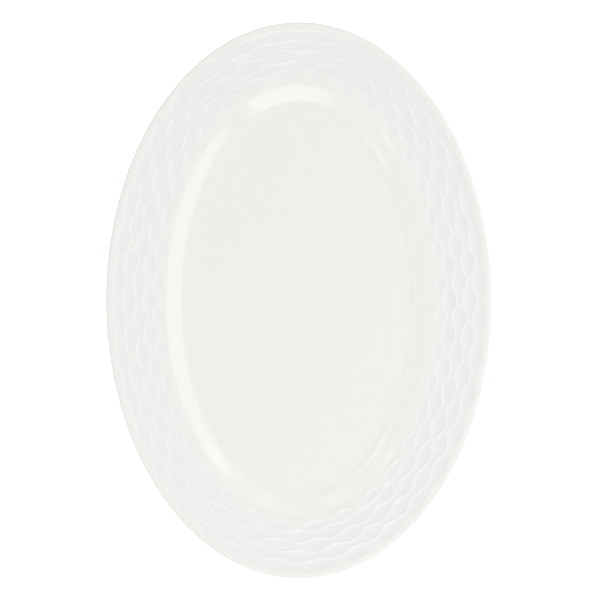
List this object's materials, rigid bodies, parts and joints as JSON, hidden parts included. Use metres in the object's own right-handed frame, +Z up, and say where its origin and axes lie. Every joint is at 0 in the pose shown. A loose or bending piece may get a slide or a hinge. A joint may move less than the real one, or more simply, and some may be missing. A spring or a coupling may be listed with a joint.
{
  "type": "serving platter",
  "caption": "Oval glazed porcelain serving platter with a wide rim of waved hollows round a flat well, standing on a bare foot ring.",
  "frame": {"origin": "on the table, at the middle of the foot ring's standing face", "axes": "+Z up, +Y along the platter's length, +X across its width"},
  "size_m": [0.2706, 0.39, 0.022],
  "materials": {
    "white_glaze": "gloss",
    "bare_porcelain": "matt"
  },
  "bodies": {
    "root": {"porcelain_body": "bare_porcelain", "glaze_coat": "white_glaze", "foot_recess_glaze": "white_glaze"}
  },
  "joints": []
}
